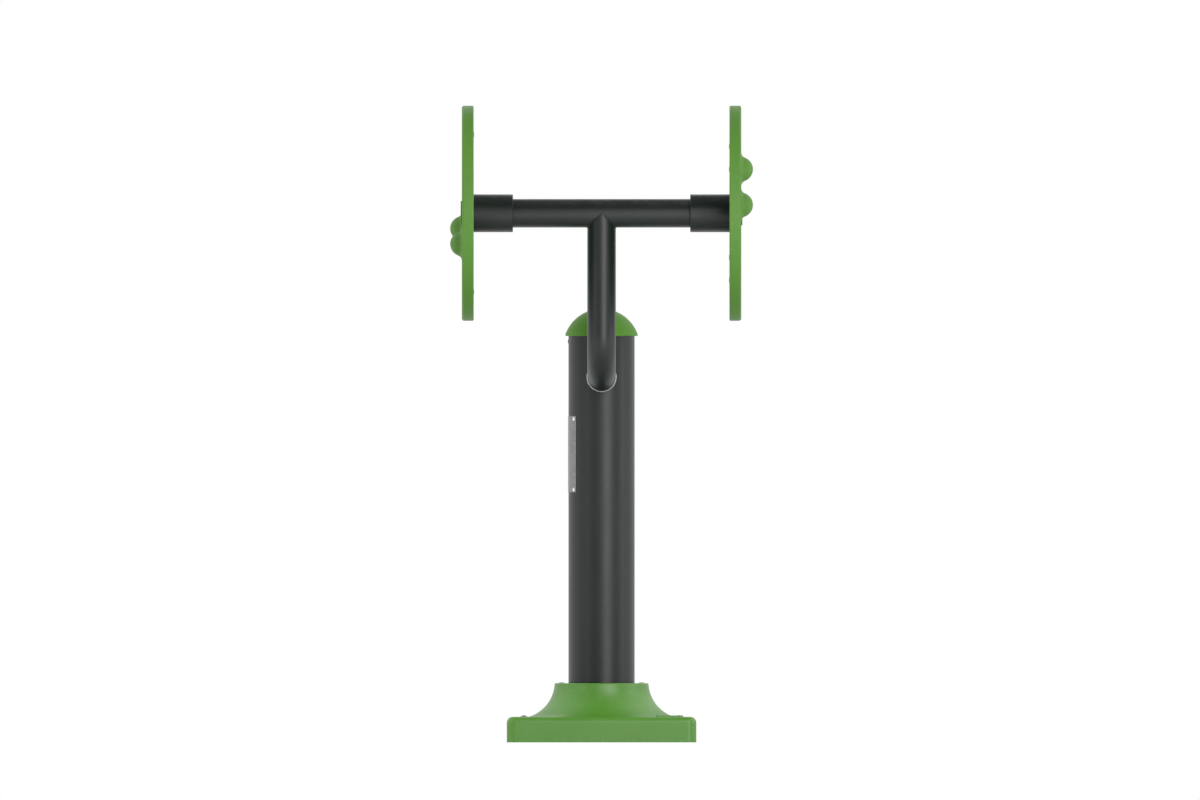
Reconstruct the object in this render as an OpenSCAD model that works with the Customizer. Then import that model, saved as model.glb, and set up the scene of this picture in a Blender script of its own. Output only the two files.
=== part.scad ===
// Outdoor fitness station: two free-turning hand wheels with domed palm grips,
// carried at shoulder height by a bent arm on a covered steel post.
// Millimetres, +Z up. The origin is on the post's axis at floor level, -Y is the
// user's side, and the wheels turn about one axis parallel to X.

/* [Base frame] */
// Side of the square steel base plate
plate_size = 330; // [320:1:360]
// Thickness of the base plate
plate_t = 12; // [8:1:16]
// Corner radius of the base plate
plate_corner_r = 15; // [5:1:30]
// Distance between neighbouring anchor holes
anchor_spacing = 240; // [220:1:270]
// Diameter of the anchor holes
anchor_hole_d = 18; // [14:0.5:22]
// Diameter of the drain hole under the post
drain_d = 40; // [20:1:80]
// Thickness of the gussets
gusset_t = 8; // [5:0.5:12]
// How far a gusset reaches out from the post
gusset_reach = 62; // [40:1:70]
// Height of a gusset above the base plate
gusset_h = 70; // [40:1:76]
// Height of the gusset's outer edge
gusset_toe = 10; // [6:1:20]

/* [Post] */
// Outer diameter of the post
post_d = 139.7; // [133:0.1:142]
// Wall of the post
post_wall = 4; // [3:0.1:6]
// Height of the post's upper end above the floor
post_top = 857.5; // [845:0.5:865]

/* [Base cover] */
// Side of the square base cover
cover_size = 400; // [390:1:440]
// Height of the cover's square part
cover_top = 54; // [52:0.5:60]
// Wall of the cover
cover_wall = 4; // [3:0.1:5]
// Radius along the cover's top edge
cover_edge_r = 12.5; // [6:0.5:14]
// Radius of the cover's upright corners
cover_corner_r = 18; // [15:0.5:30]
// Radius of the cover's ring around the post
ring_r = 99; // [96:0.5:104]
// Height of the ring's flat top
ring_top = 125; // [122:0.5:132]
// Edge radius of the ring
ring_edge_r = 3; // [1:0.5:4]
// Width of the flat between the flare's foot and the cover's side
foot_margin = 46; // [44:0.5:54]
// Height of the centre of the flare's hollow arc above the ring's flat top
flare_rise = 2.5; // [0.5:0.5:4]
// Gap between the cover's ring and the post
post_gap = 0.5; // [0.3:0.1:1]
// Gap between the two halves of the cover
seam_gap = 0.4; // [0.2:0.1:1]
// Side of the raised square pad near one front corner
pad_size = 57.5; // [40:0.5:60]
// Distance of the pad's middle from the cover's two sides next to it
pad_inset = 56.5; // [44:0.5:58]
// Height of the pad
pad_h = 2.8; // [1:0.1:4]
// Corner radius of the pad
pad_corner_r = 6; // [3:0.5:10]
// Thickness of the joining tabs under the seam
tab_t = 3.5; // [2:0.1:4]
// Width of the joining tabs
tab_w = 22; // [18:0.5:24]
// How far a tab reaches under the front half
tab_reach = 18; // [16:0.5:24]
// How far a tab is rooted under the rear half
tab_root = 14; // [10:0.5:20]
// Gap between a ring tab and the flare's wall
tab_gap = 0.5; // [0.3:0.1:1]

/* [Cover screws] */
// Distance of the screws from the seam
cover_screw_setback = 9; // [8:0.5:11]
// Shank diameter of the cover screws
cover_screw_d = 6; // [4:0.5:7]
// Clearance of a cover screw in the front half, on the radius
cover_screw_gap = 0.3; // [0.2:0.1:0.6]
// Distance of the ring screws inside the ring's edge, along X
ring_screw_inset = 14.5; // [13:0.5:16]
// Head diameter of the ring screws
ring_head_d = 15; // [12:0.5:16]
// Head height of the ring screws
ring_head_h = 2.3; // [1:0.1:3]
// Distance of the screws on the square part from the cover's side
lap_screw_inset = 36; // [30:0.5:37]
// Head diameter of the screws on the square part
lap_head_d = 16; // [12:0.5:17]
// Head height of the screws on the square part
lap_head_h = 3.8; // [1:0.1:4]
// Length of a cover screw under its head
cover_screw_length = 12; // [10:0.5:16]
// Width across the flats of the screws' sockets
socket_af = 4; // [2.5:0.5:5]
// Depth of the screws' sockets
socket_depth = 2; // [1:0.1:3]

/* [Post cap] */
// Spherical radius of the cap
cap_r = 81; // [79:0.5:84]
// Height of the cap's crown above the post's end
cap_h = 57.5; // [52:0.5:60]
// Wall of the cap
cap_wall = 3.5; // [2.5:0.1:4]
// Radius of the cap's rounded lip
cap_lip_r = 2.5; // [1.5:0.1:3]
// Depth of the cap's skirt inside the post
skirt_depth = 22; // [18:0.5:40]
// Wall of the skirt
skirt_wall = 3; // [2:0.1:4]
// Gap between the skirt and the post
skirt_gap = 0.5; // [0.2:0.1:1]
// Distance of the cap's screws below the post's end
cap_screw_drop = 11.5; // [8:0.5:14]
// Directions of the cap's screws around the post
cap_screw_angles = [180, 60];
// Shank diameter of the cap's screws
cap_screw_d = 5; // [3:0.5:6]
// Clearance of a cap screw in the post's wall, on the radius
cap_screw_gap = 0.2; // [0.1:0.1:0.5]
// Head diameter of the cap's screws
cap_head_d = 10; // [8:0.5:12]
// Head height of the cap's screws
cap_head_h = 1.4; // [0.8:0.1:2]
// Length of a cap screw under its head
cap_screw_length = 10; // [9:0.5:14]

/* [Name plate] */
// Height of the plate
name_h = 161; // [100:1:200]
// Height of the plate's lower edge above the floor
name_z = 527.5; // [300:0.5:560]
// Angle that the plate covers around the post
name_angle = 80; // [50:1:100]
// Thickness of the plate
name_t = 0.7; // [0.5:0.1:2]
// Gap between the plate and the post
name_gap = 0.1; // [0.05:0.05:0.3]
// Direction that the plate faces
name_facing = 180; // [170:1:190]
// Angle between the rivets of one row
rivet_angle = 67; // [30:1:70]
// Distance of the rivets from the plate's upper and lower edges
rivet_edge = 6; // [5.5:0.5:12]
// Diameter of the rivets
rivet_d = 4.8; // [3:0.1:5]
// Head diameter of the rivets
rivet_head_d = 8; // [7:0.5:10]
// Head height of the rivets
rivet_head_h = 1.6; // [1:0.1:2]
// Length of a rivet under its head
rivet_length = 8; // [6:0.5:10]

/* [Arm and cross tube] */
// Outer diameter of the arm and the cross tube
tube_d = 60.3; // [57:0.1:60.5]
// Wall of the arm and the cross tube
tube_wall = 3.6; // [2.6:0.1:5]
// Height of the arm's level stretch
arm_h = 771; // [740:1:780]
// Bend radius of the arm, to its middle line
bend_r = 90; // [75:1:110]
// Distance of the wheels' axis in front of the post's axis
arm_offset = 190; // [180:1:260]
// Height of the wheels' axis
axis_h = 1116.5; // [1000:0.5:1250]
// Leg of the weld around the arm's foot
arm_weld = 1.6; // [1:0.1:3]
// Length of that weld along the arm
arm_weld_l = 3; // [2:0.1:5]
// Leg of the weld below the cross tube
cross_weld = 1.5; // [1:0.1:3]
// How far the coped tips of the arm stay below the cross tube's middle
cope_tip = 1.5; // [0.5:0.1:3]

/* [Hub and axle] */
// Diameter of the hub
hub_d = 80; // [76:0.5:90]
// Distance of the hub's inner end from the middle plane
hub_start = 187; // [184:0.1:189]
// Chamfer on the hub's inner end
hub_chamfer = 0.8; // [0.3:0.1:2]
// How far the cross tube enters the hub
tube_entry = 5.4; // [3:0.1:8]
// Gap between the cross tube and the hub around it
tube_gap = 1; // [0.5:0.1:2]
// Length of the axle's plug inside the cross tube
plug_l = 18; // [10:0.5:30]
// Clearance of the plug in the cross tube, on the radius
plug_gap = 0.05; // [0.02:0.01:0.2]
// Thickness of the axle's collar at the end of the cross tube
collar_t = 4; // [3:0.5:6]
// Gap between the collar and the shaft seal
end_gap = 1.2; // [0.5:0.1:2]
// Radius of the axle's shoulder, where the seal runs
shoulder_r = 16; // [15.5:0.1:16.2]
// Width of the shaft seal
seal_w = 7; // [5:0.5:8]
// Thickness of the seal's walls
seal_wall = 2.3; // [1:0.1:3]
// Running clearance under the seal's lip, on the radius
seal_gap = 0.05; // [0.02:0.01:0.1]
// Gap between the seal and the first bearing
seal_room = 0.8; // [0.5:0.1:2]
// Length of the spacer between the bearings' inner rings
spacer_l = 40; // [36:0.5:40]
// Bore of the hub between its bearings
land_d = 45; // [44:0.5:47]
// Thickness of the circlip that holds the outer bearing
circlip_t = 1.8; // [1.5:0.1:2]
// Depth of the circlip's groove
circlip_groove = 1.5; // [1:0.1:2]
// Radial width of the circlip
circlip_w = 3.8; // [3:0.1:4]
// Opening angle of the circlip
circlip_mouth = 30; // [20:1:50]
// Gap around the circlip in its groove
circlip_gap = 0.1; // [0.05:0.05:0.2]
// How far the axle's bearing seat stops short of the washer
seat_relief = 0.75; // [0.25:0.25:1.5]
// Thread diameter at the axle's end
thread_d = 20; // [16:1:22]
// Diameter of the axle's washer
washer_d = 33; // [32:0.5:36]
// Thickness of the axle's washer
washer_t = 3; // [2:0.5:3.5]
// Clearance of the washer on the thread, on the radius
washer_gap = 0.3; // [0.1:0.1:0.6]
// Width across the flats of the axle's nut
nut_af = 30; // [27:0.5:32]
// Height of the axle's nut
nut_h = 10; // [8:0.5:11]
// How far the axle stands out of its nut
thread_out = 1; // [0.5:0.1:2]

/* [Bearings] */
// Bore of a bearing
bearing_bore = 25; // [24:0.5:26]
// Outer diameter of a bearing
bearing_od = 52; // [50:0.5:54]
// Width of a bearing
bearing_w = 15; // [13:0.5:15]
// Diameter of a ball
ball_d = 7.94; // [7:0.01:8]
// Balls in a bearing
ball_count = 9; // [7:1:9]
// Clearance between a ball and its races
race_gap = 0.08; // [0.05:0.01:0.12]
// Height of the races' shoulders, as the gap left between the two rings
ring_opening = 5.7; // [5:0.1:6.5]
// Radial thickness of a ball cage
cage_t = 3; // [2:0.1:4]
// Width of a ball cage
cage_w = 9.4; // [9:0.1:11]

/* [Wheel] */
// Diameter of a wheel
wheel_d = 454; // [440:1:480]
// Distance of a wheel's inner face from the middle plane
wheel_start = 269.8; // [268:0.1:271]
// Thickness of a wheel at its rim
wheel_t = 25; // [24:0.1:28]
// Skin of the moulded face
skin_t = 4; // [3:0.1:5]
// Edge radius between the face and the rim
face_edge_r = 5; // [3:0.5:6]
// Edge radius between the rim and the inner side
back_edge_r = 3; // [1:0.5:3.5]
// Width of the rim around the back plate
rim_w = 7; // [5:0.5:9]
// Width of the ledge that the back plate rests on
ledge_w = 3.5; // [2:0.5:5]
// Thickness of the back plate
back_t = 4; // [3:0.1:4]
// Gap around the back plate
back_gap = 0.3; // [0.2:0.1:0.6]
// Thickness of the hub's flange
flange_t = 6; // [5.5:0.1:7]
// Diameter of the hub's flange
flange_d = 140; // [134:1:150]
// How far the face's centre boss reaches past the flange
boss_margin = 3; // [1:0.5:6]
// Screws between the hub's flange and the face
flange_screw_count = 6; // [4:1:8]
// Circle of the flange screws
flange_pcd = 112; // [108:1:114]
// Diameter of the flange screws
flange_screw_d = 8; // [6:0.5:9]
// Head diameter of the flange screws
flange_head_d = 15; // [13:0.5:16]
// Length of the flange screws
flange_screw_l = 13; // [12:0.5:14]
// Ribs behind the face
rib_count = 8; // [4:4:12]
// Thickness of a rib
rib_t = 3; // [2:0.1:4]
// Screws that hold the back plate
back_screw_count = 4; // [4:4:8]
// Distance of these screws from the wheel's axis
back_screw_r = 169; // [160:1:175]
// Diameter of these screws
back_screw_d = 5; // [4:0.5:6]
// Head diameter of these screws
back_head_d = 14; // [12:0.5:15]
// Head height of these screws
back_head_h = 1; // [0.8:0.1:1.5]
// Length of these screws under the head
back_screw_l = 14; // [10:0.5:15]
// Diameter of the bosses that take them
screw_boss_d = 16; // [12:0.5:18]
// Clearance of a screw in a drilled plate, on the radius
screw_gap = 0.2; // [0.1:0.1:0.4]
// How much deeper than its screw a blind hole is
hole_end_gap = 1; // [0.5:0.5:1.5]

/* [Grips] */
// Height of a palm grip on the face
grip_h = 24.8; // [22:0.1:25.5]
// Spherical radius of a palm grip
grip_r = 26.3; // [25.5:0.1:30]
// Radius of the hollow curve around a grip's foot
grip_fillet = 12; // [5:0.5:14]
// Wall of a grip
grip_wall = 4; // [3:0.1:5]
// Distance of the outer grip from the wheel's axis
grip_outer_r = 169; // [160:1:175]
// Distance of the inner grip from the wheel's axis
grip_inner_r = 112; // [108:1:118]
// Angle from the outer grip to the inner grip
grip_step = 24.3; // [20:0.1:30]
// Rest angle of the left wheel, seen on its outer face
left_rest = 191; // [0:0.1:360]
// Rest angle of the right wheel, seen on its outer face
right_rest = 146.7; // [0:0.1:360]

/* [Hub cap] */
// Diameter of the hub cap
hub_cap_d = 51.5; // [50:0.5:58]
// Height of the hub cap on the face
hub_cap_h = 2.5; // [1.5:0.1:3]
// Edge radius of the hub cap
hub_cap_edge = 1.2; // [0.8:0.1:2]
// Diameter of the face's centre hole
face_hole_d = 48.6; // [46:0.1:49]
// Clearance of the cap's skirt in that hole, on the radius
cap_skirt_gap = 0.2; // [0.1:0.05:0.3]
// Wall of the cap's skirt
cap_skirt_wall = 2.5; // [1.5:0.1:3]
// Depth of the cap's skirt
cap_skirt_depth = 8; // [5:0.5:9]
// Wall of the cap's top
cap_top_wall = 2; // [1:0.1:2.2]

/* [Hidden] */
$fn = 96;

powder_grey = "#3a403f";
leaf_green = "#5c8a37";
steel = "#9aa0a3";
zinc = "#b4b8ba";
black_rubber = "#1c1c1e";
cage_brass = "#a8874a";

left = -1;
right = 1;
// Overshoot of a cutting body past the face that it opens
past = 1;

post_r = post_d / 2;
plate_r = post_r + name_gap;
tube_r = tube_d / 2;
tube_bore_r = tube_r - tube_wall;
cover_half = cover_size / 2;
pad_offset = cover_half - pad_inset;
ring_screw_x = ring_r - ring_screw_inset;
lap_screw_x = cover_half - lap_screw_inset;

// Hollow arc of the flare: upright beside the ring, and down to the foot on the square part
foot_r = cover_half - foot_margin;
flare_centre_z = ring_top + flare_rise;
flare_r = (pow(foot_r - ring_r, 2) + pow(flare_centre_z - cover_top, 2)) / (2 * (foot_r - ring_r));
flare_centre_r = ring_r + flare_r;

// Places along the wheels' axis, counted from the middle plane
tube_end = hub_start + tube_entry;
collar_end = tube_end + collar_t;
seal_start = collar_end + end_gap;
inner_bearing = seal_start + seal_w + seal_room;
spacer_start = inner_bearing + bearing_w;
outer_bearing = spacer_start + spacer_l;
bearing_end = outer_bearing + bearing_w;
flange_start = wheel_start + back_t;
hub_end = flange_start + flange_t;
wheel_end = wheel_start + wheel_t;
skin_start = wheel_end - skin_t;
nut_start = bearing_end + washer_t;
axle_end = nut_start + nut_h + thread_out;

wheel_r = wheel_d / 2;
hub_r = hub_d / 2;
seat_r = bearing_bore / 2;
bore_r = bearing_od / 2;
pitch_r = (bearing_bore + bearing_od) / 4;
boss_r = flange_d / 2 + boss_margin;
rim_inner_r = wheel_r - rim_w;

function rest_angle(side) = side == left ? left_rest : right_rest;

// Puts a piece drawn along +Z, from the middle plane outwards, on one side's axis
module at_side(side) {
    translate([0, -arm_offset, axis_h]) rotate([90, 0, 90 * side]) children();
}

// The same, turned to the wheel's rest angle
module on_wheel(side) {
    at_side(side) rotate(rest_angle(side)) children();
}

// Puts a piece drawn along +Z on the post, pointing outwards
module on_post(angle, distance, height) {
    rotate(angle) translate([distance, 0, height]) rotate([0, 90, 0]) children();
}

module around(count, radius, start = 0) {
    for (i = [0 : count - 1]) rotate(start + i * 360 / count) translate([radius, 0, 0]) children();
}

module tube(outer_r, inner_r, length) {
    difference() {
        cylinder(r = outer_r, h = length);
        translate([0, 0, -past]) cylinder(r = inner_r, h = length + 2 * past);
    }
}

// Ring of rectangular section between two distances along its axis
module ring(outer_r, inner_r, start, end) {
    translate([0, 0, start]) tube(outer_r, inner_r, end - start);
}

module rounded_square(side, r) {
    square([side, side - 2 * r], center = true);
    square([side - 2 * r, side], center = true);
    for (x = [-1, 1], y = [-1, 1]) translate([x * (side / 2 - r), y * (side / 2 - r)]) circle(r);
}

// What a rounded outer corner loses, with the corner's arc centred on [x, y]
module corner_loss(x, y, r) {
    translate([x, y]) difference() {
        square(r + past);
        circle(r);
    }
}

// Low domed screw head standing on Z = 0
module low_head(r, h) {
    dome_r = (r * r + h * h) / (2 * h);
    rotate_extrude() intersection() {
        square([r, h]);
        translate([0, h - dome_r]) circle(dome_r);
    }
}

// Low-headed screw whose head stands on Z = 0 and whose shank points to -Z
module low_screw(head_d, head_h, shank_d, length, socket = true) {
    difference() {
        union() {
            low_head(head_d / 2, head_h);
            translate([0, 0, -length]) cylinder(d = shank_d, h = length);
        }
        if (socket) translate([0, 0, head_h - socket_depth])
            cylinder(d = socket_af / cos(30), h = socket_depth + past, $fn = 6);
    }
}

// Square block with rounded uprights and a rounded top edge
module soft_block(side, low, high, corner_r, edge_r) {
    straight = side / 2 - corner_r;
    translate([0, 0, low]) linear_extrude(high - edge_r - low) rounded_square(side, corner_r);
    translate([0, 0, high - edge_r]) {
        linear_extrude(edge_r) rounded_square(side - 2 * edge_r, corner_r - edge_r);
        for (turn = [0 : 90 : 270]) rotate(turn) {
            translate([side / 2 - edge_r, straight, 0]) rotate([90, 0, 0])
                linear_extrude(2 * straight) quarter_round(edge_r);
            translate([straight, straight, 0]) rotate_extrude(angle = 90)
                translate([corner_r - edge_r, 0]) quarter_round(edge_r);
        }
    }
}

module quarter_round(r) {
    intersection() {
        circle(r);
        square(r);
    }
}

module base_plate() {
    color(steel) difference() {
        linear_extrude(plate_t) rounded_square(plate_size, plate_corner_r);
        for (x = [-1, 1], y = [-1, 1])
            translate([x * anchor_spacing / 2, y * anchor_spacing / 2, -past])
                cylinder(d = anchor_hole_d, h = plate_t + 2 * past);
        translate([0, 0, -past]) cylinder(d = drain_d, h = plate_t + 2 * past);
    }
}

module base_gussets() {
    color(steel) for (turn = [0 : 90 : 270]) rotate(turn) difference() {
        translate([0, gusset_t / 2, plate_t]) rotate([90, 0, 0]) linear_extrude(gusset_t) polygon([
            [post_r - gusset_t, 0],
            [post_r + gusset_reach, 0],
            [post_r + gusset_reach, gusset_toe],
            [post_r + gusset_toe, gusset_h],
            [post_r - gusset_t, gusset_h]
        ]);
        cylinder(r = post_r, h = post_top);
    }
}

module post_tube() {
    color(powder_grey) difference() {
        ring(post_r, post_r - post_wall, plate_t, post_top);
        for (angle = cap_screw_angles) on_post(angle, 0, post_top - cap_screw_drop)
            cylinder(r = cap_screw_d / 2 + cap_screw_gap, h = post_r + past);
        at_rivets(0) cylinder(d = rivet_d, h = post_r + past);
    }
}

// Outer form of the base cover, or its cavity when drawn one wall further in
module cover_form(inset, low) {
    soft_block(cover_size - 2 * inset, low, cover_top - inset, cover_corner_r - inset, cover_edge_r - inset);
    neck_z = ring_top - ring_edge_r;
    neck_r = flare_centre_r - sqrt(pow(flare_r, 2) - pow(flare_centre_z - neck_z, 2));
    rotate_extrude() difference() {
        translate([0, low]) square([foot_r, ring_top - inset - low]);
        translate([flare_centre_r, flare_centre_z]) circle(flare_r + inset);
        if (inset == 0) corner_loss(neck_r - ring_edge_r, neck_z, ring_edge_r);
    }
}

module cover_shell() {
    difference() {
        cover_form(0, 0);
        cover_form(cover_wall, -past);
        cylinder(r = post_r + post_gap, h = ring_top + past);
    }
}

// Places of the cover's screws: two on the ring and two on the square part
module at_ring_screws() {
    for (x = [-1, 1]) translate([x * ring_screw_x, -cover_screw_setback, ring_top]) children();
}

module at_lap_screws() {
    for (x = [-1, 1]) translate([x * lap_screw_x, -cover_screw_setback, cover_top]) children();
}

module base_cover_front() {
    color(leaf_green) difference() {
        union() {
            intersection() {
                cover_shell();
                translate([-cover_size, -2 * cover_size - seam_gap / 2, 0]) cube(2 * cover_size);
            }
            translate([pad_offset, -pad_offset, cover_top]) linear_extrude(pad_h)
                rounded_square(pad_size, pad_corner_r);
        }
        at_ring_screws() translate([0, 0, -cover_wall - past])
            cylinder(r = cover_screw_d / 2 + cover_screw_gap, h = cover_wall + 2 * past);
        at_lap_screws() translate([0, 0, -cover_wall - past])
            cylinder(r = cover_screw_d / 2 + cover_screw_gap, h = cover_wall + 2 * past);
    }
}

// Tab under the seam, rooted on the rear half
module seam_tab(width) {
    translate([-width / 2, cover_screw_setback - tab_reach, -cover_wall - tab_t])
        cube([width, tab_reach + tab_root, tab_t]);
}

// The ring's tabs are narrower, and stay inside the flare's wall
ring_tab_reach_x = sqrt(pow(ring_r - cover_wall, 2) - pow(max(tab_reach, tab_root), 2));
ring_tab_w = 2 * (ring_tab_reach_x - ring_screw_x - tab_gap);

module base_cover_rear() {
    color(leaf_green) difference() {
        union() {
            intersection() {
                cover_shell();
                translate([-cover_size, seam_gap / 2, 0]) cube(2 * cover_size);
            }
            at_ring_screws() seam_tab(ring_tab_w);
            at_lap_screws() seam_tab(tab_w);
        }
        at_ring_screws() translate([0, 0, -cover_screw_length - past])
            cylinder(d = cover_screw_d, h = cover_screw_length + 2 * past);
        at_lap_screws() translate([0, 0, -cover_screw_length - past])
            cylinder(d = cover_screw_d, h = cover_screw_length + 2 * past);
    }
}

module cover_ring_screws() {
    color(zinc) at_ring_screws() low_screw(ring_head_d, ring_head_h, cover_screw_d, cover_screw_length);
}

module cover_lap_screws() {
    color(zinc) at_lap_screws() low_screw(lap_head_d, lap_head_h, cover_screw_d, cover_screw_length);
}

module post_cap() {
    centre_z = post_top + cap_h - cap_r;
    lip_z = post_top + cap_lip_r;
    rim_r = sqrt(pow(cap_r, 2) - pow(lip_z - centre_z, 2));
    skirt_r = post_r - post_wall - skirt_gap;
    well_r = skirt_r - skirt_wall;
    color(leaf_green) difference() {
        rotate_extrude() difference() {
            union() {
                intersection() {
                    translate([0, centre_z]) circle(cap_r);
                    translate([0, lip_z]) square([cap_r, cap_h]);
                }
                translate([0, post_top]) square([rim_r - cap_lip_r, cap_lip_r]);
                intersection() {
                    translate([rim_r - cap_lip_r, lip_z]) circle(cap_lip_r);
                    translate([0, post_top]) square([rim_r, cap_lip_r]);
                }
                translate([0, post_top - skirt_depth]) square([skirt_r, skirt_depth]);
            }
            translate([0, post_top - skirt_depth - past]) square([well_r, skirt_depth + cap_wall + past]);
            intersection() {
                translate([0, centre_z]) circle(cap_r - cap_wall);
                translate([0, post_top + cap_wall]) square([cap_r, cap_h]);
            }
        }
        for (angle = cap_screw_angles) on_post(angle, 0, post_top - cap_screw_drop)
            cylinder(d = cap_screw_d, h = post_r);
    }
}

module post_cap_screws() {
    color(zinc) for (angle = cap_screw_angles) on_post(angle, post_r, post_top - cap_screw_drop)
        low_screw(cap_head_d, cap_head_h, cap_screw_d, cap_screw_length, false);
}

// Places of the rivets, at a distance from the post's axis
module at_rivets(distance) {
    for (side = [-1, 1], z = [rivet_edge, name_h - rivet_edge])
        on_post(name_facing + side * rivet_angle / 2, distance, name_z + z) children();
}

module name_plate() {
    color(zinc) difference() {
        translate([0, 0, name_z]) rotate(name_facing - name_angle / 2)
            rotate_extrude(angle = name_angle) translate([plate_r, 0]) square([name_t, name_h]);
        at_rivets(plate_r - past) cylinder(d = rivet_d, h = name_t + 2 * past);
    }
}

module name_plate_rivets() {
    color(steel) at_rivets(plate_r + name_t)
        low_screw(rivet_head_d, rivet_head_h, rivet_d, rivet_length, false);
}

// Solid form of the arm: level out of the post, a quarter bend, then upright
module arm_form(r) {
    level = arm_offset - bend_r;
    translate([0, -level, arm_h]) rotate([-90, 0, 0]) cylinder(r = r, h = level);
    translate([0, -level, arm_h + bend_r]) rotate([0, 90, 180])
        rotate_extrude(angle = 90) translate([bend_r, 0]) circle(r);
    translate([0, -arm_offset, arm_h + bend_r]) cylinder(r = r, h = axis_h - arm_h - bend_r);
}

// Solid rod along the cross tube
module cross_form(r, half_length) {
    translate([-half_length, -arm_offset, axis_h]) rotate([0, 90, 0]) cylinder(r = r, h = 2 * half_length);
}

module arm_tube() {
    color(powder_grey) difference() {
        arm_form(tube_r);
        arm_form(tube_bore_r);
        cylinder(r = post_r, h = post_top);
        cross_form(tube_r, tube_end);
        translate([-tube_d, -arm_offset - tube_d, axis_h - cope_tip]) cube(2 * tube_d);
    }
}

// Saddle-shaped weld where the arm meets the post
module arm_weld_ring() {
    color(zinc) intersection() {
        translate([0, 0, arm_h]) rotate([90, 0, 0])
            ring(tube_r + arm_weld, tube_r, post_r - tube_r, post_r + arm_weld_l + past);
        ring(post_r + arm_weld_l, post_r, arm_h - tube_d, arm_h + tube_d);
    }
}

module cross_tube() {
    color(powder_grey) difference() {
        cross_form(tube_r, tube_end);
        cross_form(tube_bore_r, tube_end + past);
    }
}

// Weld along the coped joint below the cross tube
module cross_tube_weld() {
    color(powder_grey) intersection() {
        translate([0, -arm_offset, 0])
            ring(tube_r + cross_weld, tube_r, axis_h - tube_d, axis_h);
        difference() {
            cross_form(tube_r + cross_weld, tube_d);
            cross_form(tube_r, tube_d + past);
        }
    }
}

// Fixed axle: plug in the cross tube, collar, seal seat, bearing seat and thread
module axle(side) {
    plug_r = tube_bore_r - plug_gap;
    thread_r = thread_d / 2;
    seat_end = bearing_end - seat_relief;
    color(steel) at_side(side) rotate_extrude() polygon([
        [0, tube_end - plug_l],
        [plug_r, tube_end - plug_l],
        [plug_r, tube_end],
        [tube_r, tube_end],
        [tube_r, collar_end],
        [shoulder_r, collar_end],
        [shoulder_r, inner_bearing],
        [seat_r, inner_bearing],
        [seat_r, seat_end],
        [thread_r, seat_end],
        [thread_r, axle_end - thread_out],
        [thread_r - thread_out, axle_end],
        [0, axle_end]
    ]);
}

module axle_washer(side) {
    color(zinc) at_side(side)
        ring(washer_d / 2, thread_d / 2 + washer_gap, bearing_end, nut_start);
}

module axle_nut(side) {
    color(zinc) at_side(side) translate([0, 0, nut_start]) difference() {
        cylinder(d = nut_af / cos(30), h = nut_h, $fn = 6);
        translate([0, 0, -past]) cylinder(d = thread_d, h = nut_h + 2 * past);
    }
}

module bearing_spacer(side) {
    color(steel) at_side(side) ring(shoulder_r, seat_r, spacer_start, outer_bearing);
}

// Ring of a ball bearing between two radii, with the groove that the balls run in
module race(inner_r, outer_r, start) {
    rotate_extrude() difference() {
        translate([inner_r, start]) square([outer_r - inner_r, bearing_w]);
        translate([pitch_r, start + bearing_w / 2]) circle(ball_d / 2 + race_gap);
    }
}

module bearing_inner_ring(side, start) {
    color(steel) at_side(side) race(seat_r, pitch_r - ring_opening / 2, start);
}

module bearing_outer_ring(side, start) {
    color(steel) on_wheel(side) race(pitch_r + ring_opening / 2, bore_r, start);
}

module bearing_balls(side, start) {
    color(zinc) at_side(side) around(ball_count, pitch_r)
        translate([0, 0, start + bearing_w / 2]) sphere(d = ball_d);
}

module bearing_cage(side, start) {
    middle = start + bearing_w / 2;
    color(cage_brass) at_side(side) difference() {
        ring(pitch_r + cage_t / 2, pitch_r - cage_t / 2, middle - cage_w / 2, middle + cage_w / 2);
        around(ball_count, pitch_r - cage_t) translate([0, 0, middle]) rotate([0, 90, 0])
            cylinder(r = ball_d / 2 + race_gap, h = 2 * cage_t);
    }
}

// Places of the screws between the hub's flange and the face
module at_flange_screws() {
    around(flange_screw_count, flange_pcd / 2) translate([0, 0, flange_start]) children();
}

// Countersunk head with its rim on Z = 0, pointing to +Z
module flat_head(head_d, shank_d) {
    cylinder(d1 = head_d, d2 = shank_d, h = (head_d - shank_d) / 2);
}

module hub(side) {
    groove_r = bore_r + circlip_groove;
    color(powder_grey) on_wheel(side) difference() {
        rotate_extrude() difference() {
            union() {
                translate([0, hub_start]) square([hub_r, hub_end - hub_start]);
                translate([0, flange_start]) square([flange_d / 2, flange_t]);
            }
            polygon([
                [hub_r - hub_chamfer, hub_start],
                [hub_r + past, hub_start - past],
                [hub_r + past, hub_start + hub_chamfer + past],
                [hub_r, hub_start + hub_chamfer]
            ]);
            translate([0, hub_start - past]) square([tube_r + tube_gap, seal_start - hub_start + past]);
            translate([0, seal_start]) square([bore_r, spacer_start - seal_start]);
            translate([0, spacer_start]) square([land_d / 2, spacer_l]);
            translate([0, outer_bearing]) square([bore_r, hub_end - outer_bearing + past]);
            translate([0, bearing_end]) square([groove_r, circlip_t + 2 * circlip_gap]);
        }
        at_flange_screws() {
            translate([0, 0, -past]) cylinder(r = flange_screw_d / 2 + screw_gap, h = flange_t + 2 * past);
            flat_head(flange_head_d, flange_screw_d);
        }
    }
}

// Shaft seal: a ring in the hub with a thin lip that runs on the axle's shoulder
module shaft_seal(side) {
    lip_r = shoulder_r + seal_gap;
    color(black_rubber) on_wheel(side) rotate_extrude() difference() {
        translate([lip_r, seal_start]) square([bore_r - lip_r, seal_w]);
        translate([lip_r + seal_wall, seal_start + seal_wall])
            square([bore_r - lip_r - 2 * seal_wall, seal_w]);
    }
}

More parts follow.
